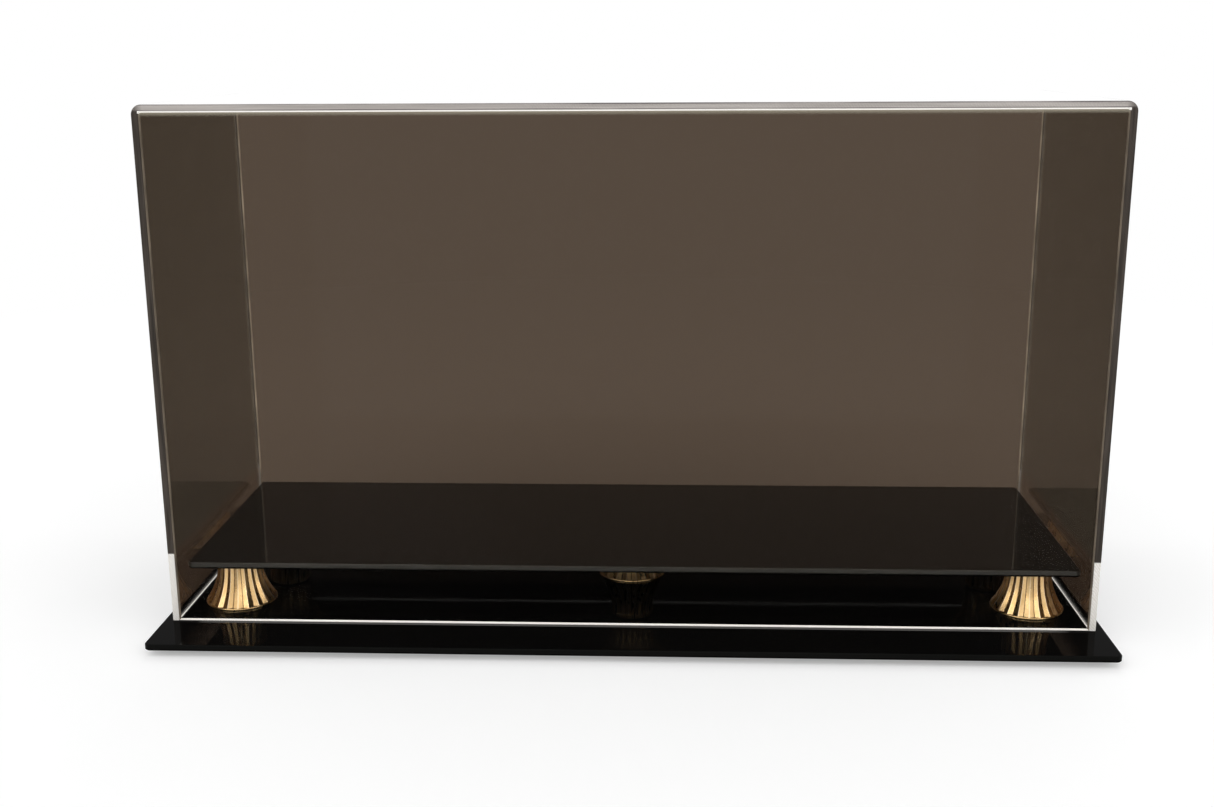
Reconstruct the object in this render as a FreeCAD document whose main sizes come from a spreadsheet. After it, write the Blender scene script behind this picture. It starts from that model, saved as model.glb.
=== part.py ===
import FreeCAD
import Part
import math
import os
import Sketcher

# Lift-off display case: a clear-fronted acrylic cover stands over a low platform on a black base.
# Millimetres, +Z up, +Y to the back. The origin is on the table under the middle of the base.

# Driving sizes: name, value, what it measures.
SIZES = [
    ("cover_length", 430.0, "outside of the cover, left to right"),
    ("cover_depth", 148.0, "outside of the cover, front to back"),
    ("cover_height", 239.0, "outside of the cover, base to top"),
    ("cover_wall", 3.0, "acrylic sheet of the cover"),
    ("bend_radius", 1.5, "inside of the two heat bends along the top"),
    ("bend_clearance", 0.2, "panel corner to the inside of a bend"),
    ("base_overhang", 4.5, "base beyond the cover at each side"),
    ("base_ledge", 28.0, "base beyond the cover at front and back"),
    ("base_thickness", 3.0, "black base plate"),
    ("base_corner", 3.0, "rounded corners of the base"),
    ("platform_side_gap", 3.0, "platform to the inside of a side wall"),
    ("platform_front_gap", 6.0, "platform to the inside of the front or back"),
    ("platform_thickness", 3.0, "black platform plate"),
    ("platform_corner", 2.5, "rounded corners of the platform"),
    ("edge_break", 0.4, "eased edges of the two black plates"),
    ("riser_height", 22.5, "gold riser, base to top"),
    ("riser_side_inset", 18.5, "riser axis in from the platform's side"),
    ("riser_front_inset", 21.7, "riser axis in from the platform's front or back"),
    ("rim_radius", 17.0, "bottom rim of a riser"),
    ("rim_height", 1.0, "plain lip under the pleats"),
    ("neck_radius", 10.6, "narrow top of a riser"),
    ("collar_height", 2.0, "plain band above the pleats"),
    ("riser_wall", 2.8, "moulded wall of a riser, over the ridges"),
    ("riser_roof", 2.5, "closed top of a riser"),
    ("pleat_count", 20.0, "pleats round a riser"),
    ("ridge_inset", 0.2, "sharp ridges inside the rim and the collar"),
    ("pleat_depth_ratio", 0.16, "pleat depth as a share of its width"),
    ("boss_radius", 4.6, "screw boss inside a riser"),
    ("disc_radius", 8.0, "bonding disc on a riser"),
    ("disc_thickness", 0.8, "bonding disc"),
    ("screw_radius", 2.0, "thread of a riser screw"),
    ("screw_length", 16.0, "riser screw, face of head to point"),
    ("screw_point", 3.0, "tapered point of a riser screw"),
    ("head_radius", 3.9, "flat head of a riser screw"),
    ("head_land", 0.4, "straight edge of the flat head"),
    ("head_recess", 0.15, "screw face above the underside of the base"),
    ("slot_width", 1.0, "arms of the cross recess"),
    ("slot_span", 4.4, "cross recess, tip to tip"),
    ("slot_depth", 1.2, "cross recess"),
    ("screw_clearance", 0.05, "screw to its boss and its countersink"),
    ("shank_clearance", 0.3, "screw to its hole in the base"),
    ("foot_radius", 5.0, "rubber foot, where it is bonded on"),
    ("foot_tip_radius", 4.2, "rubber foot, at the table"),
    ("foot_height", 3.0, "rubber foot"),
    ("foot_round", 1.2, "rounded lower edge of a foot"),
    ("foot_side_inset", 24.0, "foot axis in from the side of the base"),
    ("foot_front_inset", 22.0, "foot axis in from the front or back of the base"),
]

SAME_PLACE = 1e-6
FULL_TURN = 360.0
UPWARD = FreeCAD.Vector(0, 0, 1)
BACKWARD = FreeCAD.Vector(0, 1, 0)
FLARE_STATIONS = 5
PLEAT_OVERCUT = 2.0

doc = FreeCAD.newDocument("display_case")
sheet = doc.addObject("Spreadsheet::Sheet", "Sizes")


class Measure:
    """A length with its value now and the expression that keeps it tied to the sizes table."""

    def __init__(self, value, text):
        self.value = float(value)
        self.text = text

    def __add__(self, other):
        other = measure(other)
        return Measure(self.value + other.value, f"({self.text} + {other.text})")

    def __sub__(self, other):
        other = measure(other)
        return Measure(self.value - other.value, f"({self.text} - {other.text})")

    def __mul__(self, other):
        other = measure(other)
        return Measure(self.value * other.value, f"({self.text} * {other.text})")

    def __truediv__(self, other):
        other = measure(other)
        return Measure(self.value / other.value, f"({self.text} / {other.text})")

    def __neg__(self):
        return self * -1

    def squared(self):
        return self * self

    def root(self):
        return Measure(math.sqrt(self.value), f"sqrt({self.text})")

    def sine(self):
        return Measure(math.sin(self.value), f"sin({self.text} * 1 rad)")

    def cosine(self):
        return Measure(math.cos(self.value), f"cos({self.text} * 1 rad)")


def measure(number):
    """Lets a plain count stand beside measures."""
    return number if isinstance(number, Measure) else Measure(number, f"({float(number)})")


def write_sizes():
    """Fills the sizes table and gives each size back as a measure."""
    measures = {}
    for row, (name, value, meaning) in enumerate(SIZES, start=1):
        sheet.set(f"A{row}", meaning)
        sheet.set(f"B{row}", str(value))
        sheet.setAlias(f"B{row}", name)
        measures[name] = Measure(value, f"Sizes.{name}")
    doc.recompute()
    return measures


size = write_sizes()
zero = measure(0)

# Heights of the stack above the table.
base_underside = size["foot_height"]
base_top = base_underside + size["base_thickness"]
disc_underside = base_top + size["riser_height"]
platform_underside = disc_underside + size["disc_thickness"]

# Outlines of the two black plates and the inside of the cover.
base_length = size["cover_length"] + size["base_overhang"] * 2
base_depth = size["cover_depth"] + size["base_ledge"] * 2
inside_length = size["cover_length"] - size["cover_wall"] * 2
inside_depth = size["cover_depth"] - size["cover_wall"] * 2
inside_height = size["cover_height"] - size["cover_wall"]
platform_length = inside_length - size["platform_side_gap"] * 2
platform_depth = inside_depth - size["platform_front_gap"] * 2

# Places of the risers and feet, from the middle of the base.
CORNERS = {
    "front_left": (-1, -1),
    "front_right": (1, -1),
    "back_left": (-1, 1),
    "back_right": (1, 1),
}
riser_x = platform_length / 2 - size["riser_side_inset"]
riser_y = platform_depth / 2 - size["riser_front_inset"]
foot_x = base_length / 2 - size["foot_side_inset"]
foot_y = base_depth / 2 - size["foot_front_inset"]
riser_places = {corner: (riser_x * x, riser_y * y) for corner, (x, y) in CORNERS.items()}
riser_places["centre"] = (zero, zero)
foot_places = {corner: (foot_x * x, foot_y * y) for corner, (x, y) in CORNERS.items()}

# A riser's flare is an arc that ends upright at the neck.
pleat_top = size["riser_height"] - size["collar_height"]
flare_rise = pleat_top - size["rim_height"]
flare_spread = size["rim_radius"] - size["neck_radius"]
flare_radius = (flare_spread.squared() + flare_rise.squared()) / (flare_spread * 2)
flare_centre = size["neck_radius"] + flare_radius
cavity_radius = flare_radius + size["riser_wall"]
cavity_top = size["riser_height"] - size["riser_roof"]
cavity_waist = cavity_top / 2

# Each screw goes up through the base and ends inside the boss of its riser.
screw_underside = base_underside + size["head_recess"]
pilot_radius = size["screw_radius"] + size["screw_clearance"]
pilot_depth = screw_underside + size["screw_length"] + size["screw_clearance"] - base_top
shank_hole_radius = size["screw_radius"] + size["shank_clearance"]
sink_radius = size["head_radius"] + size["head_land"] + size["head_recess"] + size["screw_clearance"]
SINK_ANGLE = 90


def bind(thing, name, amount):
    """Ties one property of an object to the sizes table."""
    thing.setExpression(name, amount.text)


def place(thing, x=zero, y=zero, z=zero):
    for axis, amount in zip("xyz", (x, y, z)):
        bind(thing, f"Placement.Base.{axis}", amount)


def new_body(name):
    body = doc.addObject("PartDesign::Body", name)
    body.Label = name
    return body


def origin_feature(body, role):
    return next(feature for feature in body.Origin.OriginFeatures if feature.Role == role)


def new_sketch(body, name, plane, height=zero):
    """A sketch on one of the body's own planes, or at a height above it."""
    sketch = body.newObject("Sketcher::SketchObject", f"{body.Name}_{name}")
    sketch.AttachmentSupport = (origin_feature(body, plane), [""])
    sketch.MapMode = "FlatFace"
    bind(sketch, "AttachmentOffset.Base.z", height)
    return sketch


def dimension(sketch, kind, where, amount):
    """A sketch dimension that follows the sizes table."""
    index = sketch.addConstraint(Sketcher.Constraint(kind, *where, amount.value))
    sketch.setExpression(f"Constraints[{index}]", amount.text)


def pin_point(sketch, edge, end, x, y):
    """Fixes one point of an edge at a distance from the sketch's origin."""
    dimension(sketch, "DistanceX", (-1, 1, edge, end), x)
    dimension(sketch, "DistanceY", (-1, 1, edge, end), y)


def arc_between(start, end, radius, side):
    """The short arc between two points, with its centre to the left (1) or right (-1) of the way there."""
    chord = end - start
    half = chord.Length / 2
    towards_centre = FreeCAD.Vector(-chord.y, chord.x, 0).normalize() * side
    centre = start + chord / 2 + towards_centre * math.sqrt(radius * radius - half * half)
    spokes = [start - centre, end - centre][::side]
    angles = [math.atan2(spoke.y, spoke.x) for spoke in spokes]
    return Part.ArcOfCircle(Part.Circle(centre, UPWARD, radius), *angles)


def draw_outline(sketch, points, arcs=None):
    """Draws a closed outline. arcs gives (radius, side) for the edges that leave the points it numbers."""
    arcs = arcs or {}
    spots = [FreeCAD.Vector(x.value, y.value, 0) for x, y in points]
    ends = []
    for index, start in enumerate(spots):
        end = spots[(index + 1) % len(spots)]
        if index in arcs:
            radius, side = arcs[index]
            sketch.addGeometry(arc_between(start, end, radius.value, side), False)
            ends.append((1, 2)[::side])
        else:
            sketch.addGeometry(Part.LineSegment(start, end), False)
            ends.append((1, 2))
    for index in range(len(spots)):
        after = (index + 1) % len(spots)
        joint = (index, ends[index][1], after, ends[after][0])
        sketch.addConstraint(Sketcher.Constraint("Coincident", *joint))
    for index, (x, y) in enumerate(points):
        pin_point(sketch, index, ends[index][0], x, y)
    for index, (radius, side) in arcs.items():
        dimension(sketch, "Radius", (index,), radius)


def centred_rectangle(length, depth):
    half_length = length / 2
    half_depth = depth / 2
    return [
        (-half_length, -half_depth),
        (half_length, -half_depth),
        (half_length, half_depth),
        (-half_length, half_depth),
    ]


def draw_circle(sketch, x, y, radius):
    centre = FreeCAD.Vector(x.value, y.value, 0)
    index = sketch.addGeometry(Part.Circle(centre, UPWARD, radius.value), False)
    pin_point(sketch, index, 3, x, y)
    dimension(sketch, "Radius", (index,), radius)


def add_feature(body, kind, name, **settings):
    """Adds a feature to a body, ties its measures to the sizes table and makes it the tip."""
    feature = body.newObject(f"PartDesign::{kind}", f"{body.Name}_{name}")
    for setting, amount in settings.items():
        if isinstance(amount, Measure):
            bind(feature, setting, amount)
        else:
            setattr(feature, setting, amount)
    body.Tip = feature
    doc.recompute()
    return feature


def add_cut(body, kind, name, **settings):
    """Adds a feature that must take material away."""
    volume = body.Shape.Volume
    feature = add_feature(body, kind, name, **settings)
    if body.Shape.Volume > volume - SAME_PLACE:
        raise RuntimeError(f"{feature.Name} cuts nothing")
    return feature


def turn(body, outline, arcs=None):
    """Revolves an outline of (radius, height) points about the body's Z axis."""
    sketch = new_sketch(body, "profile", "XZ_Plane")
    draw_outline(sketch, outline, arcs)
    axis = (sketch, ["V_Axis"])
    return add_feature(body, "Revolution", "turned", Profile=sketch, ReferenceAxis=axis, Angle=FULL_TURN)


def edges_where(feature, test):
    """Names of a feature's edges with every end point passing a test."""
    names = []
    for number, edge in enumerate(feature.Shape.Edges, start=1):
        if all(test(vertex.Point) for vertex in edge.Vertexes):
            names.append(f"Edge{number}")
    return names


def near(amount, target):
    return abs(amount - target.value) < SAME_PLACE


def edges_along(feature, axis, height=None):
    """Names of the straight edges along an axis, at one height if that is given."""
    names = []
    for number, edge in enumerate(feature.Shape.Edges, start=1):
        runs_along = abs(edge.tangentAt(edge.FirstParameter).dot(axis)) > 1 - SAME_PLACE
        at_height = height is None or near(edge.CenterOfMass.z, height)
        if runs_along and at_height:
            names.append(f"Edge{number}")
    return names


def make_plate(name, length, depth, thickness, corner, underside):
    """A flat plate with rounded corners and eased edges."""
    body = new_body(name)
    sketch = new_sketch(body, "outline", "XY_Plane")
    draw_outline(sketch, centred_rectangle(length, depth))
    slab = add_feature(body, "Pad", "slab", Profile=sketch, Length=thickness)
    corners = add_feature(body, "Fillet", "corners", Base=(slab, edges_along(slab, UPWARD)), Radius=corner)
    rims = edges_where(corners, lambda point: near(point.z, zero))
    rims += edges_where(corners, lambda point: near(point.z, thickness))
    add_feature(body, "Chamfer", "eased", Base=(corners, rims), Size=size["edge_break"])
    place(body, z=underside)
    return body


def make_base_plate():
    """The base, with a countersunk screw hole under each riser."""
    body = make_plate(
        "base_plate", base_length, base_depth, size["base_thickness"], size["base_corner"], base_underside
    )
    sketch = new_sketch(body, "screw_places", "XY_Plane")
    for x, y in riser_places.values():
        draw_circle(sketch, x, y, shank_hole_radius)
    doc.recompute()
    add_cut(
        body,
        "Hole",
        "screw_holes",
        Profile=sketch,
        Reversed=True,
        DepthType="ThroughAll",
        Diameter=shank_hole_radius * 2,
        HoleCutType="Countersink",
        HoleCutCustomValues=True,
        HoleCutDiameter=sink_radius * 2,
        HoleCutCountersinkAngle=SINK_ANGLE,
    )
    return body


def make_platform():
    """The plate that the exhibit stands on."""
    return make_plate(
        "display_platform",
        platform_length,
        platform_depth,
        size["platform_thickness"],
        size["platform_corner"],
        platform_underside,
    )


def arc_radius_at(height, arc_radius):
    """Distance from a riser's axis to an arc about the centre of its flare, at a height."""
    return flare_centre - (arc_radius.squared() - (pleat_top - height).squared()).root()


def riser_profile():
    """Half section of a riser: moulded bell with a closed roof, a tapered core and a screw boss."""
    points = [
        (pilot_radius, zero),
        (size["boss_radius"], zero),
        (size["boss_radius"], cavity_top),
        (arc_radius_at(cavity_top, cavity_radius), cavity_top),
        (arc_radius_at(cavity_waist, cavity_radius), cavity_waist),
        (arc_radius_at(zero, cavity_radius), zero),
        (size["rim_radius"], zero),
        (size["rim_radius"], size["rim_height"]),
        (size["neck_radius"], pleat_top),
        (size["neck_radius"], size["riser_height"]),
        (zero, size["riser_height"]),
        (zero, pilot_depth),
        (pilot_radius, pilot_depth),
    ]
    flare_start = points.index((size["rim_radius"], size["rim_height"]))
    return points, {flare_start: (flare_radius, -1)}


def pleat_section(body, station):
    """V that folds one pleat at a height of the flare, up to the sharp ridges that it shares."""
    height = size["rim_height"] + flare_rise * station / (FLARE_STATIONS - 1)
    ridge_radius = arc_radius_at(height, flare_radius) - size["ridge_inset"]
    half_turn = measure(math.pi) / size["pleat_count"]
    half_width = ridge_radius * half_turn.sine()
    ridge_distance = ridge_radius * half_turn.cosine()
    depth = half_width * 2 * size["pleat_depth_ratio"]
    valley_distance = ridge_distance - depth
    mouth_distance = valley_distance + depth * PLEAT_OVERCUT
    mouth_half_width = half_width * PLEAT_OVERCUT
    sketch = new_sketch(body, f"pleat_{station}", "XY_Plane", height)
    draw_outline(sketch, [
        (valley_distance, zero),
        (mouth_distance, -mouth_half_width),
        (mouth_distance, mouth_half_width),
    ])
    return sketch


def make_riser(corner, x, y):
    """A pleated riser: the turned bell, one hollow that follows the flare, and its copies round the axis."""
    body = new_body(f"{corner}_riser")
    turn(body, *riser_profile())
    first, *others = [pleat_section(body, station) for station in range(FLARE_STATIONS)]
    pleat = add_cut(body, "SubtractiveLoft", "pleat", Profile=first, Sections=others)
    add_cut(
        body,
        "PolarPattern",
        "pleats",
        Originals=[pleat],
        Axis=(origin_feature(body, "Z_Axis"), [""]),
        Angle=FULL_TURN,
        Occurrences=size["pleat_count"],
    )
    place(body, x, y, base_top)
    return body


def make_disc(corner, x, y):
    """Bonding disc between a riser and the platform."""
    disc = doc.addObject("Part::Cylinder", f"{corner}_disc")
    disc.Label = f"{corner}_disc"
    bind(disc, "Radius", size["disc_radius"])
    bind(disc, "Height", size["disc_thickness"])
    place(disc, x, y, disc_underside)
    return disc


def cross_outline(span, width):
    """A plus sign about the origin."""
    tip = span / 2
    arm = width / 2
    return [
        (tip, -arm), (tip, arm), (arm, arm),
        (arm, tip), (-arm, tip), (-arm, arm),
        (-tip, arm), (-tip, -arm), (-arm, -arm),
        (-arm, -tip), (arm, -tip), (arm, -arm),
    ]


def make_screw(corner, x, y):
    """Flat-head screw, point up, with a cross recess."""
    body = new_body(f"{corner}_screw")
    head_height = size["head_land"] + size["head_radius"] - size["screw_radius"]
    turn(body, [
        (zero, zero),
        (size["head_radius"], zero),
        (size["head_radius"], size["head_land"]),
        (size["screw_radius"], head_height),
        (size["screw_radius"], size["screw_length"] - size["screw_point"]),
        (zero, size["screw_length"]),
    ])
    sketch = new_sketch(body, "recess", "XY_Plane")
    draw_outline(sketch, cross_outline(size["slot_span"], size["slot_width"]))
    add_cut(body, "Pocket", "recess_cut", Profile=sketch, Reversed=True, Length=size["slot_depth"])
    place(body, x, y, screw_underside)
    return body


def make_screws():
    """The five screws, one group."""
    group = doc.addObject("Part::Compound", "riser_screws")
    group.Label = "riser_screws"
    group.Links = [make_screw(corner, x, y) for corner, (x, y) in riser_places.items()]
    return group


def make_foot(corner, x, y):
    """Rubber foot, bonded under the base."""
    body = new_body(f"{corner}_foot")
    cone = turn(body, [
        (zero, zero),
        (size["foot_tip_radius"], zero),
        (size["foot_radius"], size["foot_height"]),
        (zero, size["foot_height"]),
    ])
    rim = edges_where(cone, lambda point: near(point.z, zero) and not near(point.Length, zero))
    add_feature(body, "Fillet", "rounded", Base=(cone, rim), Radius=size["foot_round"])
    place(body, x, y)
    return body


def make_cover_wrap():
    """Left wall, top and right wall of the cover, one sheet with two heat bends."""
    body = new_body("cover_wrap")
    outer = size["cover_length"] / 2
    inner = inside_length / 2
    top = size["cover_height"]
    sketch = new_sketch(body, "section", "XZ_Plane")
    draw_outline(sketch, [
        (-outer, zero), (-outer, top), (outer, top), (outer, zero),
        (inner, zero), (inner, inside_height), (-inner, inside_height), (-inner, zero),
    ])
    channel = add_feature(
        body, "Pad", "channel", Profile=sketch, SideType="Symmetric", Length=size["cover_depth"]
    )
    outside = edges_along(channel, BACKWARD, top)
    outside_radius = size["bend_radius"] + size["cover_wall"]
    bends = add_feature(body, "Fillet", "outer_bends", Base=(channel, outside), Radius=outside_radius)
    inside = edges_along(bends, BACKWARD, inside_height)
    add_feature(body, "Fillet", "inner_bends", Base=(bends, inside), Radius=size["bend_radius"])
    place(body, z=base_top)
    return body


def make_panel(name, side):
    """Flat panel set in flush between the walls, under the top."""
    body = new_body(name)
    half = inside_length / 2
    sketch = new_sketch(body, "outline", "XZ_Plane")
    draw_outline(sketch, [(-half, zero), (half, zero), (half, inside_height), (-half, inside_height)])
    pane = add_feature(
        body, "Pad", "pane", Profile=sketch, SideType="Symmetric", Length=size["cover_wall"]
    )
    corners = edges_along(pane, BACKWARD, inside_height)
    corner_radius = size["bend_radius"] + size["bend_clearance"]
    add_feature(body, "Fillet", "corners", Base=(pane, corners), Radius=corner_radius)
    place(body, y=(size["cover_depth"] - size["cover_wall"]) / 2 * side, z=base_top)
    return body


def check_document():
    """Stops if a feature failed or a shape is missing or broken."""
    doc.recompute()
    for thing in doc.Objects:
        if "Invalid" in thing.State or "Error" in thing.State:
            raise RuntimeError(f"{thing.Name} failed: {thing.State}")
    for node in nodes:
        if node.Shape.isNull() or not node.Shape.isValid():
            raise RuntimeError(f"{node.Label} has no valid shape")


nodes = [make_base_plate(), make_platform(), make_screws()]
nodes += [make_riser(corner, x, y) for corner, (x, y) in riser_places.items()]
nodes += [make_disc(corner, x, y) for corner, (x, y) in riser_places.items()]
nodes += [make_foot(corner, x, y) for corner, (x, y) in foot_places.items()]
nodes += [make_cover_wrap(), make_panel("front_panel", -1), make_panel("back_panel", 1)]
check_document()

os.makedirs("parts", exist_ok=True)
for node in nodes:
    node.Shape.exportStep(os.path.join("parts", f"{node.Label}.step"))
    box = node.Shape.BoundBox
    print(f"{node.Label}: {len(node.Shape.Solids)} solids, {node.Shape.Volume / 1000:.2f} cm3,",
          f"{box.XMin:.2f}..{box.XMax:.2f}, {box.YMin:.2f}..{box.YMax:.2f}, {box.ZMin:.2f}..{box.ZMax:.2f}")
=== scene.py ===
import math

import bmesh
import bpy
from mathutils import Matrix, Vector


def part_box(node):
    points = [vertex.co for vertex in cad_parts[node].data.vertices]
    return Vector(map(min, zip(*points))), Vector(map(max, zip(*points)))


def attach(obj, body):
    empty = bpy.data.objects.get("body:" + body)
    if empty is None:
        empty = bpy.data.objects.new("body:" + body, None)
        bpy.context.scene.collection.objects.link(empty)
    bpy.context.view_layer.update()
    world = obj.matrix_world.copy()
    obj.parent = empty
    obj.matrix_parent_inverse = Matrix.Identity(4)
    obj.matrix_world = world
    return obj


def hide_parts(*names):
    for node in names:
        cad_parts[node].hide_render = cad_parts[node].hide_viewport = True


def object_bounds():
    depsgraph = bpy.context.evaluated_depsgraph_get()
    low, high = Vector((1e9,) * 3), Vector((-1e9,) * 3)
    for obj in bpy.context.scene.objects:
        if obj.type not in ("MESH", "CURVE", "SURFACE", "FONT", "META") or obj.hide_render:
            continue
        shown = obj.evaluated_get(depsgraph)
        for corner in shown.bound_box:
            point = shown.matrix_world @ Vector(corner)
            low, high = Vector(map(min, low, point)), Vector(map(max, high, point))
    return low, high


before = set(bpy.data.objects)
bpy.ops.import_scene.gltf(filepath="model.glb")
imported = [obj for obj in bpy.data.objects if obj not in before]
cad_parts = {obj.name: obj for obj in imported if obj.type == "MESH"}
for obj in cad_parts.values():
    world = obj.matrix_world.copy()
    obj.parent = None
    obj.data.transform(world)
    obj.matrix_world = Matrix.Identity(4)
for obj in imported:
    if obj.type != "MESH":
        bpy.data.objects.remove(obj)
cad_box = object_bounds()
MM = 0.001
WHITE = (1.0, 1.0, 1.0)

# The camera, in the photograph's own pixels and in the frame.
PHOTO_WIDTH = 1214
FOCAL_PIXELS = 1436.6
SENSOR_WIDTH = 36.0
CAMERA_PLACE = Vector((0.0185, -0.6983, 0.2690))
CAMERA_YAW = -0.0444
CAMERA_PITCH = 0.2448
CAMERA_ROLL = -0.0057
CAMERA_NEAREST = 0.01

# The studio. Each lamp has a place, a width in metres and a power in watts.
SKY_LIGHT = 0.45
FLOOR_HALF_WIDTH = 30.0
FLOOR_DROP = 0.2 * MM
FLOOR_SHADE = (0.8, 0.8, 0.8)
FLOOR_LIFT = 0.31
FLOOR_FADE_START = 0.35
FLOOR_FADE_END = 1.0
FAR_FLOOR_LIGHT = 0.5
LAMP_TARGET = Vector((0.0, 0.0, 0.1))
LAMPS = {
    "key_lamp": ((-1.5, -2.0, 2.1), 3.4, 45.0),
    "fill_lamp": ((1.9, -1.6, 1.5), 2.4, 20.0),
    "back_lamp": ((0.4, 1.9, 2.2), 1.8, 15.0),
    "left_lamp": ((-1.2, 0.45, 0.2), 0.9, 4.0),
    "right_lamp": ((1.2, 0.45, 0.2), 0.9, 4.0),
}

# The acrylic cover. The seam is the joint between the front panel and the top sheet.
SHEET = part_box("front_panel")[1].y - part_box("front_panel")[0].y
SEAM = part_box("front_panel")[1].z
COVER_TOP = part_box("cover_wrap")[1].z
COVER_HALF_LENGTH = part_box("cover_wrap")[1].x
BEND_INSIDE = 1.5 * MM
BEND_STEPS = 10
CORNER_STEPS = 5
GLUE_LINE = 0.04 * MM
SEAT = 0.25 * MM
WRAP_ARRIS = 0.25 * MM
PANE_ARRIS = 0.35 * MM
ARRIS_STEPS = 2

# The material slots of a sheet.
INSIDE = 0
OUTSIDE = 1
CUT = 2

# The faces of the acrylic sheet.
ACRYLIC_IOR = 1.49
HEAD_ON_MIRROR = ((ACRYLIC_IOR - 1) / (ACRYLIC_IOR + 1)) ** 2
GRAZING_MIRROR = 0.8
CLEAR = (0.99, 0.99, 0.985)
SMOKE_INSIDE = (0.97, 0.965, 0.96)
SMOKE_WALL = (0.042, 0.032, 0.022)
SMOKE_WALL_LOW = (0.048, 0.030, 0.019)
SMOKE_BACK = (0.093, 0.068, 0.050)
SHEET_DUST = (0.72, 0.68, 0.62)
SHEET_DUST_CELL = 15.0 * MM
SHEET_DUST_RADIUS = 0.26 * MM
CEMENT_TONE = (0.37, 0.335, 0.26)
CEMENT_BELOW_SEAM = 1.3 * MM
CEMENT_FADE = 0.9 * MM

# The cut edges of the acrylic sheet.
# Below this height the cut edges are painted pale as light, over real frosting on their flat bottoms.
LOW_PART_TOP = 39.3 * MM
LOW_PART_FADE = 0.3 * MM
PALE_FROST_AND_PAINTED_LIGHT = (0.90, 0.88, 0.84)
FROST_DARK = (0.74, 0.70, 0.64)
# The pale parts give off a painted glow of this colour.
PAINTED_GLOW_TONE = (1.0, 0.97, 0.92)
# A painted highlight line along the seam, from below it to just above it.
HIGHLIGHT_BELOW_SEAM = 0.85 * MM
HIGHLIGHT_ABOVE_SEAM = 0.2 * MM
HIGHLIGHT_FADE = 0.05 * MM
HIGHLIGHT_END_FADE = 0.2 * MM
RIM_ABOVE_SEAM = 0.65 * MM
SEAM_RIM_FADE = 0.15 * MM
RIM_BELOW_TOP = 0.5 * MM
TOP_RIM_FADE = 0.1 * MM
CROWN_PALE = (0.56, 0.52, 0.49)
CROWN_DARK = (0.44, 0.405, 0.38)
CROWN_RIM = (0.13, 0.115, 0.12)
CROWN_FADE_START = 5.0 * MM
CROWN_FADE_END = 2.0 * MM
SAW_DEPTH = 0.05 * MM
UNLIT = (0.0, 0.0, 0.0)

# The black plates.
PLATE_BLACK = (0.0035, 0.0032, 0.003)
PLATE_DUST = (0.45, 0.42, 0.38)
PLATE_DUST_CELL = 9.0 * MM
PLATE_DUST_RADIUS = 0.22 * MM
PLATE_WAVE_DEPTH = 0.03 * MM
# Near the left and right ends the plates' shine turns down, as painted shade in place of the reflection.
PLATE_SHADED_END_START = 194.0 * MM
PLATE_SHADED_END_FULL = 203.0 * MM
# Painted shade along the bottom of the plates' edges, up to this height.
EDGE_SHADE_TOP = 0.95 * MM
EDGE_SHADE_FADE = 0.15 * MM

# The pleated risers. A fold's places are valley, middle, ridge and middle.
RISER_NODES = [
    "front_left_riser",
    "front_right_riser",
    "back_left_riser",
    "back_right_riser",
    "centre_riser",
]
PLEATS = 20
FOLD_PLACES = (0.0, 0.5, 1.0, 0.5)
PLAIN_FOLD = (0.5,)
FOLD_LAYER = "fold"
FLARE_STEPS = 28
RIM_LIP = 1.0 * MM
BEAD_STEPS = 8
COLLAR = 2.0 * MM
COLLAR_ROUND = 0.3 * MM
COLLAR_STEPS = 2
NECK_RADIUS = 10.6 * MM
RIDGE_INSET = 0.2 * MM
FOLD_SHARE = 0.16
FOLD_ROUND = 0.08 * MM
FOLD_ANGLE = 25
RISER_WALL = 2.8 * MM
RISER_ROOF = 2.5 * MM
BOSS_RADIUS = 4.6 * MM
PILOT_RADIUS = 2.05 * MM
PILOT_DEPTH = 13.2 * MM
GOLD_PALE = (0.78, 0.53, 0.26)
GOLD_DEEP = (0.70, 0.45, 0.20)
GOLD_STREAK = (0.58, 0.36, 0.14)
# Painted shade in the valleys of the folds, and a painted highlight on their ridges.
GOLD_VALLEY_SHADE = (0.16, 0.09, 0.035)
GOLD_RIDGE_HIGHLIGHT = (0.90, 0.70, 0.44)
GOLD_PIT_DEPTH = 0.02 * MM

# The rubber feet, the screws and the bonding discs.
FOOT_NODES = ["front_left_foot", "front_right_foot", "back_left_foot", "back_right_foot"]
FOOT_STEPS = 48
FOOT_TIP_SHARE = 0.84
FOOT_ROUND = 1.2 * MM
FOOT_ROUND_STEPS = 6
FOOT_DIMPLE = [(0.6 * MM, 0.35 * MM), (1.4 * MM, 0.12 * MM), (1.9 * MM, 0.0)]
FOOT_RIM_WIDTH = 0.15 * MM
FOOT_RIM_HEIGHT = 0.2 * MM
FOOT_RUBBER = (0.02, 0.019, 0.018)
FOOT_GRAIN_DEPTH = 0.04 * MM
TAPE_FOAM = (0.012, 0.012, 0.012)
TAPE_GRAIN_DEPTH = 0.06 * MM
ZINC_BRIGHT = (0.62, 0.63, 0.64)
ZINC_DULL = (0.42, 0.43, 0.45)
ZINC_GRAIN_DEPTH = 0.01 * MM


def colour(rgb):
    return (*rgb, 1.0)


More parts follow.
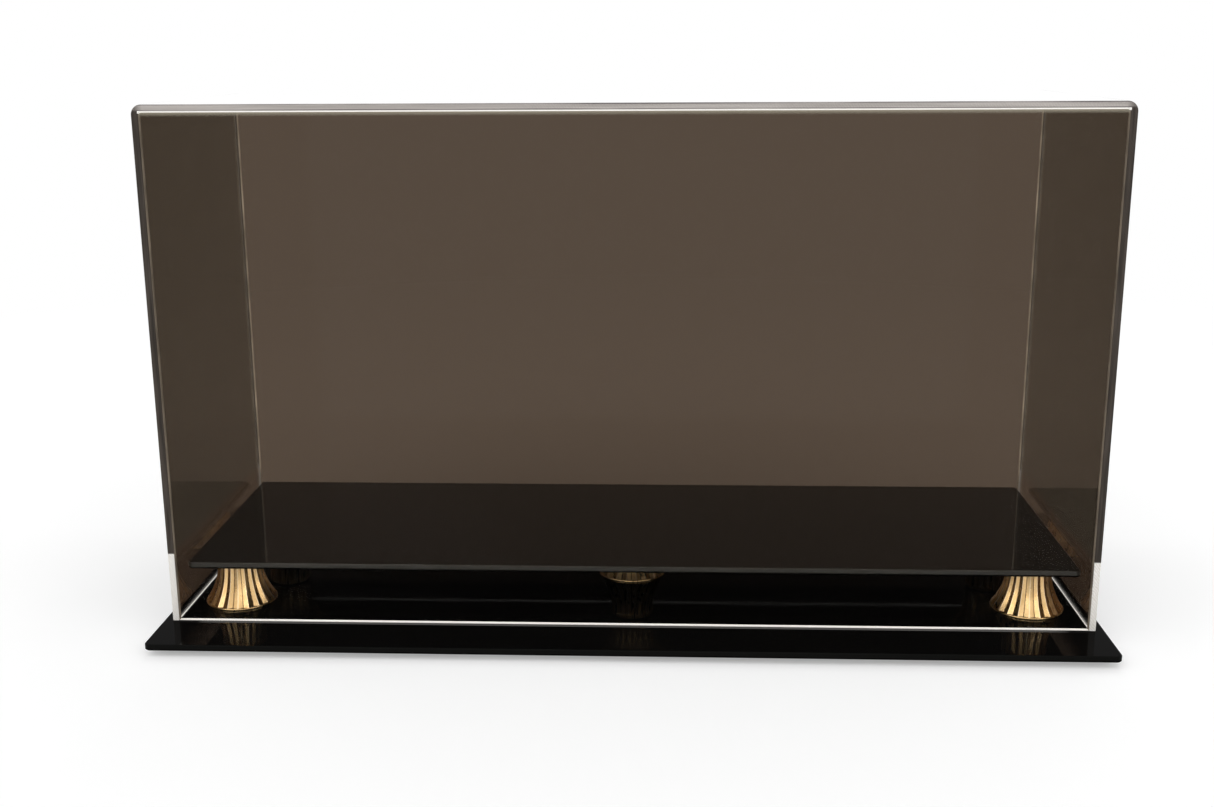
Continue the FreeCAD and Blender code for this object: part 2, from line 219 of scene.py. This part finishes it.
class Paint:
    """The node tree of a material or of the world."""

    def __init__(self, owner):
        self.owner = owner
        self.owner.use_nodes = True
        self.tree = owner.node_tree
        self.tree.nodes.clear()

    def add(self, kind, inputs=None, **settings):
        """Adds a node. An input that is a socket is linked, and any other is set."""
        node = self.tree.nodes.new("ShaderNode" + kind)
        for name, setting in settings.items():
            setattr(node, name, setting)
        for key, value in (inputs or {}).items():
            if isinstance(value, bpy.types.NodeSocket):
                self.tree.links.new(value, node.inputs[key])
            else:
                node.inputs[key].default_value = value
        return node

    def math(self, operation, first, second=0.0):
        return self.add("Math", {0: first, 1: second}, operation=operation).outputs[0]

    def spread(self, value, start, end, low=0.0, high=1.0):
        """Takes start..end to low..high, and holds the ends."""
        inputs = {"Value": value, "From Min": start, "From Max": end, "To Min": low, "To Max": high}
        return self.add("MapRange", inputs).outputs["Result"]

    def blend(self, share, first, second):
        """A colour between two."""
        node = self.add("Mix", {"Factor": share}, data_type="RGBA")
        for socket, value in zip((s for s in node.inputs if s.type == "RGBA"), (first, second)):
            if isinstance(value, bpy.types.NodeSocket):
                self.tree.links.new(value, socket)
            else:
                socket.default_value = colour(value)
        return next(s for s in node.outputs if s.type == "RGBA")

    def place(self):
        """Where a point is on its piece, in metres."""
        return self.add("TexCoord").outputs["Object"]

    def stretched(self, along):
        """The piece's own coordinates, multiplied along each axis."""
        return self.add("Mapping", {"Vector": self.place(), "Scale": along}).outputs["Vector"]

    def noise(self, scale=1.0, detail=2.0, place=None):
        inputs = {"Vector": place or self.place(), "Scale": scale, "Detail": detail}
        return self.add("TexNoise", inputs).outputs["Fac"]

    def specks(self, cell, radius, share):
        """Small round spots, one at most in a cell, in a share of the cells."""
        cells = self.add("TexVoronoi", {"Vector": self.place(), "Scale": 1.0 / cell})
        chance = self.add("SeparateColor", {"Color": cells.outputs["Color"]})
        size = self.spread(chance.outputs["Green"], 0.0, 1.0, low=0.3)
        reach = self.math("MULTIPLY", size, radius / cell)
        spot = self.math("LESS_THAN", cells.outputs["Distance"], reach)
        return self.math("MULTIPLY", spot, self.math("LESS_THAN", chance.outputs["Red"], share))

    def above(self, level, fade, low=0.0, high=1.0):
        """Low under a height on the piece, high over it, with a fade to either side."""
        height = self.add("SeparateXYZ", {"Vector": self.place()}).outputs["Z"]
        return self.spread(height, level - fade, level + fade, low, high)

    def low_part(self):
        """1 on the low part of the cover, 0 above it."""
        return self.above(LOW_PART_TOP, LOW_PART_FADE, low=1.0, high=0.0)

    def ends(self, start, full, low=0.0, high=1.0):
        """Low up to a distance from the middle of the case along its length, high from a further one on."""
        across = self.add("SeparateXYZ", {"Vector": self.place()}).outputs["X"]
        return self.spread(self.math("ABSOLUTE", across), start, full, low, high)

    def level(self, least):
        """1 where a surface faces up or down by more than a share, and 0 elsewhere."""
        normal = self.add("NewGeometry").outputs["Normal"]
        upward = self.add("SeparateXYZ", {"Vector": normal}).outputs["Z"]
        return self.math("GREATER_THAN", self.math("ABSOLUTE", upward), least)

    def bump(self, height, depth):
        return self.add("Bump", {"Height": height, "Distance": depth}).outputs["Normal"]

    def seen_directly(self):
        """1 for what the camera, a mirror or a clear sheet shows, and 0 for light that falls on a surface."""
        path = self.add("LightPath").outputs
        seen = self.math("MAXIMUM", path["Is Camera Ray"], path["Is Glossy Ray"])
        seen = self.math("MAXIMUM", seen, path["Is Transmission Ray"])
        return self.math("MULTIPLY", seen, self.math("LESS_THAN", path["Diffuse Depth"], 0.5))

    def matt(self, rgb):
        return self.add("BsdfDiffuse", {"Color": colour(rgb)}).outputs[0]

    def mix_shaders(self, share, first, second):
        return self.add("MixShader", {0: share, 1: first, 2: second}).outputs[0]

    def finish(self, shader):
        """Ends a material with a shader."""
        self.add("OutputMaterial", {"Surface": shader})
        return self.owner

    def finish_solid(self, inputs):
        """Ends a material that light doesn't pass."""
        return self.finish(self.add("BsdfPrincipled", inputs).outputs[0])


def new_paint(name):
    return Paint(bpy.data.materials.new(name))


def sheet_face(name, through, mirror, dust, lamp_share, low_through=None, cement=0.0):
    """One face of an acrylic sheet. Through is what it lets pass, and lamps shine through it too.

    Mirror is what it reflects head-on and at a grazing angle. Cement is how strongly the joint with the top
    sheet shows below its line."""
    paint = new_paint(name)
    gleam = paint.add("Fresnel", {"IOR": ACRYLIC_IOR}).outputs[0]
    gleam = paint.spread(gleam, HEAD_ON_MIRROR, GRAZING_MIRROR, *mirror)
    tint = colour(through)
    if low_through:
        tint = paint.blend(paint.low_part(), through, low_through)
    bent = paint.add("BsdfRefraction", {"Color": tint, "Roughness": 0.0, "IOR": ACRYLIC_IOR})
    smear = paint.spread(paint.noise(scale=38.0, detail=3.0), 0.45, 0.75, low=0.01, high=0.06)
    gloss = paint.add("BsdfAnisotropic", {"Color": colour(WHITE), "Roughness": smear})
    sheet = paint.mix_shaders(gleam, bent.outputs[0], gloss.outputs[0])
    specks = paint.specks(SHEET_DUST_CELL, SHEET_DUST_RADIUS, share=0.4)
    seen = paint.mix_shaders(paint.math("MULTIPLY", specks, dust), sheet, paint.matt(SHEET_DUST))
    if cement:
        band = paint.above(SEAM - CEMENT_BELOW_SEAM, CEMENT_FADE, high=cement)
        seen = paint.mix_shaders(band, seen, paint.matt(CEMENT_TONE))
    lamps = paint.add("BsdfTransparent", {"Color": colour([lamp_share] * 3)}).outputs[0]
    shadow = paint.add("LightPath").outputs["Is Shadow Ray"]
    return paint.finish(paint.mix_shaders(shadow, seen, lamps))


def crown_tone(paint, polished):
    """The edge of the top sheet: streaked along its length, with dark rims, polished towards the bends."""
    streak = paint.noise(detail=3.0, place=paint.stretched((20.0, 900.0, 800.0)))
    top_rim = paint.above(COVER_TOP - RIM_BELOW_TOP, TOP_RIM_FADE)
    seam_rim = paint.above(SEAM + RIM_ABOVE_SEAM, SEAM_RIM_FADE, low=1.0, high=0.0)
    rims = paint.math("MAXIMUM", top_rim, seam_rim)
    rims = paint.math("MULTIPLY", rims, paint.spread(streak, 0.3, 0.6, low=0.3, high=0.9))
    tone = paint.blend(paint.spread(streak, 0.35, 0.7), CROWN_PALE, CROWN_DARK)
    tone = paint.blend(rims, tone, CROWN_RIM)
    bends = paint.ends(COVER_HALF_LENGTH - CROWN_FADE_START, COVER_HALF_LENGTH - CROWN_FADE_END, high=0.7)
    return paint.blend(bends, tone, polished)


def sawn_edge(name, polished, glow, bonded):
    """A cut edge of the sheet: pale low down, as frosting and painted light; polished and deeper above.

    A painted highlight line runs along the seam; above it is the edge of the top sheet. The pale parts and
    the line give off a painted glow, and glow is the colour of a painted glow given off by the polished part.
    A bonded edge is frosted only where it lies flat."""
    paint = new_paint(name)
    lying = paint.level(0.3)
    low_part = paint.low_part()
    if bonded:
        low_part = paint.math("MULTIPLY", low_part, lying)
    crowned = paint.above(SEAM + HIGHLIGHT_ABOVE_SEAM, HIGHLIGHT_FADE)
    # The painted highlight line along the seam, stopping at the walls.
    line = paint.math("SUBTRACT", paint.above(SEAM - HIGHLIGHT_BELOW_SEAM, HIGHLIGHT_FADE), crowned)
    wall = COVER_HALF_LENGTH - SHEET
    line = paint.math("MULTIPLY", line, paint.ends(wall, wall + HIGHLIGHT_END_FADE, low=1.0, high=0.0))
    bright = paint.math("MAXIMUM", low_part, line)
    saw = paint.add("TexWave", {
        "Vector": paint.stretched((1.0, 1.0, 0.8)),
        "Scale": 480.0,
        "Distortion": 5.0,
        "Detail": 3.0,
        "Detail Scale": 1.5,
    }, bands_direction="DIAGONAL").outputs["Fac"]
    # Painted pale light low down and along the line, over real frosting on flat bottoms, with saw marks.
    pale = paint.blend(paint.math("MULTIPLY", saw, low_part), PALE_FROST_AND_PAINTED_LIGHT, FROST_DARK)
    streak = paint.noise(detail=3.0, place=paint.stretched((900.0, 900.0, 40.0)))
    worn = paint.blend(paint.spread(streak, 0.35, 0.7), polished, [0.45 * share for share in polished])
    # Painted glow: the pale parts and the line give off light, though they are no lamp.
    painted_glow = paint.math("MULTIPLY", low_part, paint.spread(lying, 0.0, 1.0, low=0.08, high=0.45))
    painted_glow = paint.math("MAXIMUM", painted_glow, paint.math("MULTIPLY", line, 0.25))
    # Painted glow of the polished part, patchy, and none on the top sheet's edge.
    patchy_painted_glow = paint.noise(place=paint.stretched((0.0, 0.0, 45.0)))
    patchy_painted_glow = paint.spread(patchy_painted_glow, 0.35, 0.65, low=0.4, high=1.7)
    patchy_painted_glow = paint.math("MULTIPLY", patchy_painted_glow, paint.spread(crowned, 0.0, 1.0, low=1.0, high=0.0))
    tone = paint.blend(crowned, worn, crown_tone(paint, polished))
    return paint.finish_solid({
        "Base Color": paint.blend(bright, tone, pale),
        "Roughness": paint.spread(saw, 0.0, 1.0, low=0.35, high=0.55),
        "Specular IOR Level": 0.1,
        "Normal": paint.bump(saw, SAW_DEPTH),
        "Emission Color": paint.blend(bright, glow, PAINTED_GLOW_TONE),
        "Emission Strength": paint.spread(bright, 0.0, 1.0, low=patchy_painted_glow, high=painted_glow),
    })


def black_sheet(name, node, side_shade, side_shine, shine, shaded_end_shine):
    """Glossy black acrylic with hairlines, smears and a little dust.

    The edges are satin, with painted shade along the bottom. The last argument is the face's shine near the
    left and right ends, turned down there as painted shade in place of the reflection."""
    paint = new_paint(name)
    flat = paint.level(0.9)
    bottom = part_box(node)[0].z
    # Painted shade: the edges turn black and lose their shine along the bottom.
    low = paint.above(bottom + EDGE_SHADE_TOP, EDGE_SHADE_FADE, low=1.0, high=0.0)
    smear = paint.spread(paint.noise(scale=24.0, detail=4.0), 0.4, 0.75, low=0.015, high=0.07)
    hair = paint.noise(place=paint.stretched((45.0, 1600.0, 1600.0)))
    gloss = paint.math("ADD", smear, paint.spread(hair, 0.62, 0.8, high=0.08))
    satin = paint.spread(flat, 0.0, 1.0, low=0.3, high=0.0)
    dust = paint.math("MULTIPLY", paint.specks(PLATE_DUST_CELL, PLATE_DUST_RADIUS, share=0.3), flat)
    body = paint.blend(paint.math("MAXIMUM", flat, low), side_shade, PLATE_BLACK)
    # Painted shade: the face's shine turns down near the left and right ends.
    face_shine = paint.ends(PLATE_SHADED_END_START, PLATE_SHADED_END_FULL, low=shine, high=shaded_end_shine)
    edge_shine = paint.spread(low, 0.0, 1.0, low=side_shine, high=0.0)
    return paint.finish_solid({
        "Base Color": paint.blend(paint.math("MULTIPLY", dust, 0.3), body, PLATE_DUST),
        "Roughness": paint.math("ADD", gloss, satin),
        "IOR": ACRYLIC_IOR,
        "Specular IOR Level": paint.spread(flat, 0.0, 1.0, low=edge_shine, high=face_shine),
        "Normal": paint.bump(paint.noise(scale=11.0, detail=1.0), PLATE_WAVE_DEPTH),
    })


def gold_plating():
    """Bright gold plating on a moulding: fine pits and soft streaks.

    The valleys get painted shade and the ridges painted highlights.
    """
    paint = new_paint("gold_plating")
    pits = paint.noise(scale=2600.0, detail=3.0)
    streak = paint.noise(detail=3.0, place=paint.stretched((700.0, 700.0, 60.0)))
    patch = paint.noise(scale=160.0)
    fold = paint.add("Attribute", attribute_name=FOLD_LAYER).outputs["Fac"]
    tone = paint.blend(paint.spread(patch, 0.35, 0.7), GOLD_PALE, GOLD_DEEP)
    tone = paint.blend(paint.spread(streak, 0.55, 0.8, high=0.6), tone, GOLD_STREAK)
    # Painted shade in the valleys.
    tone = paint.blend(paint.spread(fold, 0.03, 0.16, low=1.0, high=0.0), tone, GOLD_VALLEY_SHADE)
    # Painted highlight along the ridges.
    tone = paint.blend(paint.spread(fold, 0.86, 0.97), tone, GOLD_RIDGE_HIGHLIGHT)
    return paint.finish_solid({
        "Base Color": tone,
        "Metallic": 1.0,
        "Roughness": paint.spread(streak, 0.3, 0.8, low=0.24, high=0.40),
        "Normal": paint.bump(pits, GOLD_PIT_DEPTH),
    })


def zinc_steel():
    """Plated screw steel, turned, a little dull in patches."""
    paint = new_paint("zinc_steel")
    patch = paint.noise(scale=900.0, detail=3.0)
    return paint.finish_solid({
        "Base Color": paint.blend(patch, ZINC_BRIGHT, ZINC_DULL),
        "Metallic": 1.0,
        "Roughness": paint.spread(patch, 0.3, 0.7, low=0.22, high=0.42),
        "Normal": paint.bump(paint.noise(scale=3000.0), ZINC_GRAIN_DEPTH),
    })


def soft_black(name, shade, grain, depth):
    """Rubber or foam: dull, finely grained, paler where it is rubbed."""
    paint = new_paint(name)
    cells = paint.noise(scale=grain, detail=4.0)
    worn = paint.spread(paint.noise(scale=grain * 0.1), 0.5, 0.8)
    return paint.finish_solid({
        "Base Color": paint.blend(worn, shade, [2.2 * share for share in shade]),
        "Roughness": paint.spread(cells, 0.3, 0.7, low=0.6, high=0.85),
        "Specular IOR Level": 0.3,
        "Normal": paint.bump(cells, depth),
    })


def new_piece(name, mesh, materials, body, node):
    """Puts a mesh in the scene in place of a CAD node."""
    for material in materials:
        if material.name not in mesh.materials:
            mesh.materials.append(material)
    piece = bpy.data.objects.new(name, mesh)
    bpy.context.scene.collection.objects.link(piece)
    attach(piece, body)
    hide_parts(node)
    return piece


def stand_copies(mesh, material, nodes, ending):
    """Stands a mesh that was made at the origin in the place of each of some nodes of the base."""
    pieces = []
    for node in nodes:
        low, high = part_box(node)
        piece = new_piece(node + ending, mesh, [material], "base", node)
        piece.location = ((low.x + high.x) / 2, (low.y + high.y) / 2, low.z)
        pieces.append(piece)
    return pieces


def mesh_from(bm, name):
    bmesh.ops.recalc_face_normals(bm, faces=bm.faces)
    mesh = bpy.data.meshes.new(name)
    bm.to_mesh(mesh)
    bm.free()
    return mesh


def arc(centre, radius, start, end, steps):
    """Points on an arc, from a start to an end angle in degrees."""
    points = []
    for step in range(steps + 1):
        angle = math.radians(start + (end - start) * step / steps)
        points.append((centre[0] + radius * math.cos(angle), centre[1] + radius * math.sin(angle)))
    return points


def break_edges(bm, width):
    """Takes the sharpness off every corner between a face and a cut edge."""
    bmesh.ops.recalc_face_normals(bm, faces=bm.faces)
    corners = [e for e in bm.edges if len({f.material_index for f in e.link_faces}) > 1]
    bmesh.ops.bevel(
        bm, geom=corners, offset=width, segments=ARRIS_STEPS, profile=0.5, affect="EDGES", material=CUT
    )


def wrap_mesh():
    """Left wall, top and right wall as one sheet with two bends."""
    low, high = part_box("cover_wrap")
    foot = low.z + SEAT
    outside = [(low.x, foot)]
    inside = [(low.x + SHEET, foot)]
    for side, start, end in ((-1, 180, 90), (1, 90, 0)):
        reach = high.x - SHEET - BEND_INSIDE
        centre = (side * reach, high.z - SHEET - BEND_INSIDE)
        outside += arc(centre, BEND_INSIDE + SHEET, start, end, BEND_STEPS)
        inside += arc(centre, BEND_INSIDE, start, end, BEND_STEPS)
    outside.append((high.x, foot))
    inside.append((high.x - SHEET, foot))
    bm = bmesh.new()
    rows = [
        [bm.verts.new((x, y, z)) for x, z in path]
        for path in (inside, outside)
        for y in (low.y, high.y)
    ]
    inner_front, inner_back, outer_front, outer_back = rows
    skins = (
        (inner_front, inner_back, INSIDE),
        (outer_front, outer_back, OUTSIDE),
        (inner_front, outer_front, CUT),
        (inner_back, outer_back, CUT),
    )
    last = len(inside) - 1
    flats = (0, BEND_STEPS + 1, last - 1)
    for first, second, slot in skins:
        for i in range(last):
            face = bm.faces.new((first[i], first[i + 1], second[i + 1], second[i]))
            face.material_index = slot
            face.smooth = slot != CUT and i not in flats
    for i in (0, last):
        face = bm.faces.new((inner_front[i], inner_back[i], outer_back[i], outer_front[i]))
        face.material_index = CUT
    break_edges(bm, WRAP_ARRIS)
    return mesh_from(bm, "cover_wrap_sheet")


def pane_mesh(node, front_slot, back_slot):
    """A flat panel let in between the walls, with its upper corners rounded to fit the bends."""
    low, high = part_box(node)
    left, right, top = low.x + GLUE_LINE, high.x - GLUE_LINE, high.z - GLUE_LINE
    outline = [(left, low.z + SEAT), (right, low.z + SEAT)]
    outline += arc((right - BEND_INSIDE, top - BEND_INSIDE), BEND_INSIDE, 0, 90, CORNER_STEPS)
    outline += arc((left + BEND_INSIDE, top - BEND_INSIDE), BEND_INSIDE, 90, 180, CORNER_STEPS)
    bm = bmesh.new()
    front = [bm.verts.new((x, low.y, z)) for x, z in outline]
    back = [bm.verts.new((x, high.y, z)) for x, z in outline]
    bm.faces.new(front).material_index = front_slot
    bm.faces.new(back).material_index = back_slot
    for i, start in enumerate(front):
        j = (i + 1) % len(front)
        bm.faces.new((start, front[j], back[j], back[i])).material_index = CUT
    break_edges(bm, PANE_ARRIS)
    return mesh_from(bm, node + "_pane")


def ring(bm, radii, z, count):
    """A closed ring of points round the upright axis. The radii repeat along it."""
    points = []
    for i in range(count):
        angle = 2 * math.pi * i / count
        radius = radii[i % len(radii)]
        points.append(bm.verts.new((radius * math.cos(angle), radius * math.sin(angle), z)))
    return points


def skin_rings(bm, rings):
    """Joins a stack of rings into one skin, and closes both ends."""
    for first, second in zip(rings, rings[1:]):
        for i in range(len(first)):
            j = (i + 1) % len(first)
            bm.faces.new((first[i], first[j], second[j], second[i])).smooth = True
    bm.faces.new(rings[0])
    bm.faces.new(rings[-1])


def riser_mesh():
    """A fan-folded bell with a plain lip, a plain collar and a screw boss in its hollow underside."""
    low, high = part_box(RISER_NODES[0])
    height = high.z - low.z
    rim = (high.x - low.x) / 2
    pleat_top = height - COLLAR
    cavity_top = height - RISER_ROOF
    rise = pleat_top - RIM_LIP
    splay = rim - NECK_RADIUS
    bow = (rise * rise + splay * splay) / (2 * splay)
    half_turn = math.pi / PLEATS
    bead = RIM_LIP / 2

    def flare(z):
        return NECK_RADIUS + bow - math.sqrt(bow * bow - (pleat_top - z) ** 2)

    def folded(z):
        """Radii of one fold at a height, in the order of its places."""
        ridge = flare(z) - RIDGE_INSET
        half_width = ridge * math.sin(half_turn)
        valley = ridge * math.cos(half_turn) - 2 * half_width * FOLD_SHARE
        across = complex(ridge * math.cos(half_turn), half_width) + valley
        middle = abs(across) / 2
        return valley, middle, ridge, middle

    bm = bmesh.new()
    layer = bm.verts.layers.float.new(FOLD_LAYER)
    rings = []

    def add_ring(radii, z, places):
        points = ring(bm, radii, z, PLEATS * len(FOLD_PLACES))
        for i, point in enumerate(points):
            point[layer] = places[i % len(places)]
        rings.append(points)

    underside = [
        (PILOT_RADIUS, PILOT_DEPTH),
        (PILOT_RADIUS, 0.0),
        (BOSS_RADIUS, 0.0),
        (BOSS_RADIUS, cavity_top),
        (flare(cavity_top) - RISER_WALL, cavity_top),
        (flare(cavity_top / 2) - RISER_WALL, cavity_top / 2),
        (flare(RIM_LIP) - RISER_WALL, 0.0),
    ]
    lip = arc((rim - bead, bead), bead, -90, 50, BEAD_STEPS)
    collar_centre = (NECK_RADIUS - COLLAR_ROUND, height - COLLAR_ROUND)
    collar = [(NECK_RADIUS, pleat_top), *arc(collar_centre, COLLAR_ROUND, 0, 90, COLLAR_STEPS)]
    for radius, z in underside + lip:
        add_ring([radius], z, PLAIN_FOLD)
    for step in range(FLARE_STEPS + 1):
        z = RIM_LIP + rise * step / FLARE_STEPS
        add_ring(folded(z), z, FOLD_PLACES)
    for radius, z in collar:
        add_ring([radius], z, PLAIN_FOLD)
    skin_rings(bm, rings)
    return mesh_from(bm, "pleated_riser")


def add_risers(material):
    for riser in stand_copies(riser_mesh(), material, RISER_NODES, "_bell"):
        folds = riser.modifiers.new("rounded_folds", "BEVEL")
        folds.width = FOLD_ROUND
        folds.segments = ARRIS_STEPS
        folds.limit_method = "ANGLE"
        folds.angle_limit = math.radians(FOLD_ANGLE)
        folds.harden_normals = True


def foot_mesh():
    """A turned rubber foot with a rounded lower edge and a shallow dimple."""
    low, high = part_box(FOOT_NODES[0])
    radius = (high.x - low.x) / 2
    height = high.z - low.z
    tip = radius * FOOT_TIP_SHARE
    profile = FOOT_DIMPLE + arc((tip - FOOT_ROUND, FOOT_ROUND), FOOT_ROUND, -90, -8, FOOT_ROUND_STEPS)
    profile += [(radius - FOOT_RIM_WIDTH, height - FOOT_RIM_HEIGHT), (radius, height)]
    bm = bmesh.new()
    skin_rings(bm, [ring(bm, [reach], z, FOOT_STEPS) for reach, z in profile])
    return mesh_from(bm, "rubber_foot")


def dress_node(node, material):
    """Gives a CAD node that stays in view its material."""
    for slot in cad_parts[node].material_slots:
        slot.material = material


def add_camera():
    """Stands the camera where the photograph was taken."""
    ahead = Vector((
        math.sin(CAMERA_YAW) * math.cos(CAMERA_PITCH),
        math.cos(CAMERA_YAW) * math.cos(CAMERA_PITCH),
        -math.sin(CAMERA_PITCH),
    ))
    level = Vector((math.cos(CAMERA_YAW), -math.sin(CAMERA_YAW), 0.0))
    upright = level.cross(ahead)
    right = level * math.cos(CAMERA_ROLL) + upright * math.sin(CAMERA_ROLL)
    up = upright * math.cos(CAMERA_ROLL) - level * math.sin(CAMERA_ROLL)
    data = bpy.data.cameras.new("camera")
    data.sensor_fit = "HORIZONTAL"
    data.sensor_width = SENSOR_WIDTH
    data.lens = SENSOR_WIDTH * FOCAL_PIXELS / PHOTO_WIDTH
    data.clip_start = CAMERA_NEAREST
    camera = bpy.data.objects.new("camera", data)
    turn = Matrix((right, up, -ahead)).transposed().to_4x4()
    camera.matrix_world = Matrix.Translation(CAMERA_PLACE) @ turn
    bpy.context.scene.collection.objects.link(camera)
    bpy.context.scene.camera = camera


def light_world():
    """A white studio, which lights the object at a plain level."""
    world = bpy.data.worlds.new("studio")
    bpy.context.scene.world = world
    paint = Paint(world)
    level = paint.spread(paint.seen_directly(), 0.0, 1.0, low=SKY_LIGHT)
    sky = paint.add("Background", {"Color": colour(WHITE), "Strength": level})
    paint.add("OutputWorld", {"Surface": sky.outputs[0]})


def add_floor():
    """A pale floor that shows the shadow near the object and runs out into the white."""
    bm = bmesh.new()
    bmesh.ops.create_grid(bm, x_segments=2, y_segments=2, size=FLOOR_HALF_WIDTH)
    floor = bpy.data.objects.new("floor", mesh_from(bm, "floor"))
    floor.location.z = cad_box[0].z - FLOOR_DROP
    bpy.context.scene.collection.objects.link(floor)
    paint = new_paint("floor")
    away = paint.add("VectorMath", {0: paint.place()}, operation="LENGTH").outputs["Value"]
    far = paint.spread(away, FLOOR_FADE_START, FLOOR_FADE_END)
    seen = paint.seen_directly()
    lift = paint.math("MULTIPLY", seen, FLOOR_LIFT)
    glow = paint.add("Emission", {"Color": colour(WHITE), "Strength": lift})
    near = paint.add("AddShader", {0: paint.matt(FLOOR_SHADE), 1: glow.outputs[0]})
    white = paint.spread(seen, 0.0, 1.0, low=FAR_FLOOR_LIGHT)
    beyond = paint.add("Emission", {"Color": colour(WHITE), "Strength": white})
    floor.data.materials.append(paint.finish(paint.mix_shaders(far, near.outputs[0], beyond.outputs[0])))


def add_lamp(name, place, width, power):
    """A soft box, aimed at the object. Mirrors show the white studio in its place."""
    data = bpy.data.lights.new(name, "AREA")
    data.size = width
    data.energy = power
    lamp = bpy.data.objects.new(name, data)
    aim = (LAMP_TARGET - Vector(place)).to_track_quat("-Z", "Y")
    lamp.matrix_world = Matrix.Translation(place) @ aim.to_matrix().to_4x4()
    lamp.visible_camera = False
    lamp.visible_glossy = False
    bpy.context.scene.collection.objects.link(lamp)


bpy.context.scene.view_settings.view_transform = "Standard"
add_camera()
light_world()
add_floor()
for lamp_name, lamp_settings in LAMPS.items():
    add_lamp(lamp_name, *lamp_settings)

clear_inside = sheet_face(
    "clear_acrylic_inside", through=CLEAR, mirror=(0.0, 1.0), dust=0.06, lamp_share=0.98
)
clear_face = sheet_face(
    "clear_acrylic_face", through=CLEAR, mirror=(0.0, 1.0), dust=0.10, lamp_share=0.98, cement=0.95
)
smoke_inside = sheet_face(
    "smoke_acrylic_inside", through=SMOKE_INSIDE, mirror=(0.002, 0.64), dust=0.18, lamp_share=0.98
)
smoke_wall = sheet_face(
    "smoke_acrylic_wall", through=SMOKE_WALL, mirror=(0.012, 1.0), dust=0.0, lamp_share=0.9,
    low_through=SMOKE_WALL_LOW
)
smoke_back = sheet_face(
    "smoke_acrylic_back", through=SMOKE_BACK, mirror=(0.002, 1.0), dust=0.0, lamp_share=0.5
)
cut_edge = sawn_edge("cut_edge", polished=(0.075, 0.062, 0.052), glow=UNLIT, bonded=False)
# The joints' polished parts give off a painted glow of these colours.
front_joint = sawn_edge("front_joint", polished=(0.10, 0.08, 0.06), glow=(0.080, 0.066, 0.050), bonded=True)
back_joint = sawn_edge("back_joint", polished=(0.16, 0.125, 0.09), glow=(0.135, 0.108, 0.080), bonded=True)

new_piece(
    "cover_wrap_sheet", wrap_mesh(), [smoke_inside, smoke_wall, cut_edge],
    "cover", "cover_wrap"
)
new_piece(
    "front_pane", pane_mesh("front_panel", OUTSIDE, INSIDE), [clear_inside, clear_face, front_joint],
    "cover", "front_panel"
)
new_piece(
    "back_pane", pane_mesh("back_panel", INSIDE, OUTSIDE), [smoke_inside, smoke_back, back_joint],
    "cover", "back_panel"
)
add_risers(gold_plating())
rubber = soft_black("foot_rubber", FOOT_RUBBER, grain=2400.0, depth=FOOT_GRAIN_DEPTH)
stand_copies(foot_mesh(), rubber, FOOT_NODES, "_rubber")
dress_node("base_plate", black_sheet(
    "black_acrylic_base", "base_plate",
    side_shade=(0.004, 0.004, 0.0035), side_shine=0.04, shine=0.5, shaded_end_shine=0.006
))
dress_node("display_platform", black_sheet(
    "black_acrylic_platform", "display_platform",
    side_shade=(0.03, 0.026, 0.02), side_shine=0.3, shine=0.28, shaded_end_shine=0.28
))
dress_node("riser_screws", zinc_steel())
tape = soft_black("bonding_tape", TAPE_FOAM, grain=5200.0, depth=TAPE_GRAIN_DEPTH)
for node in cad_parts:
    if node.endswith("_disc"):
        dress_node(node, tape)
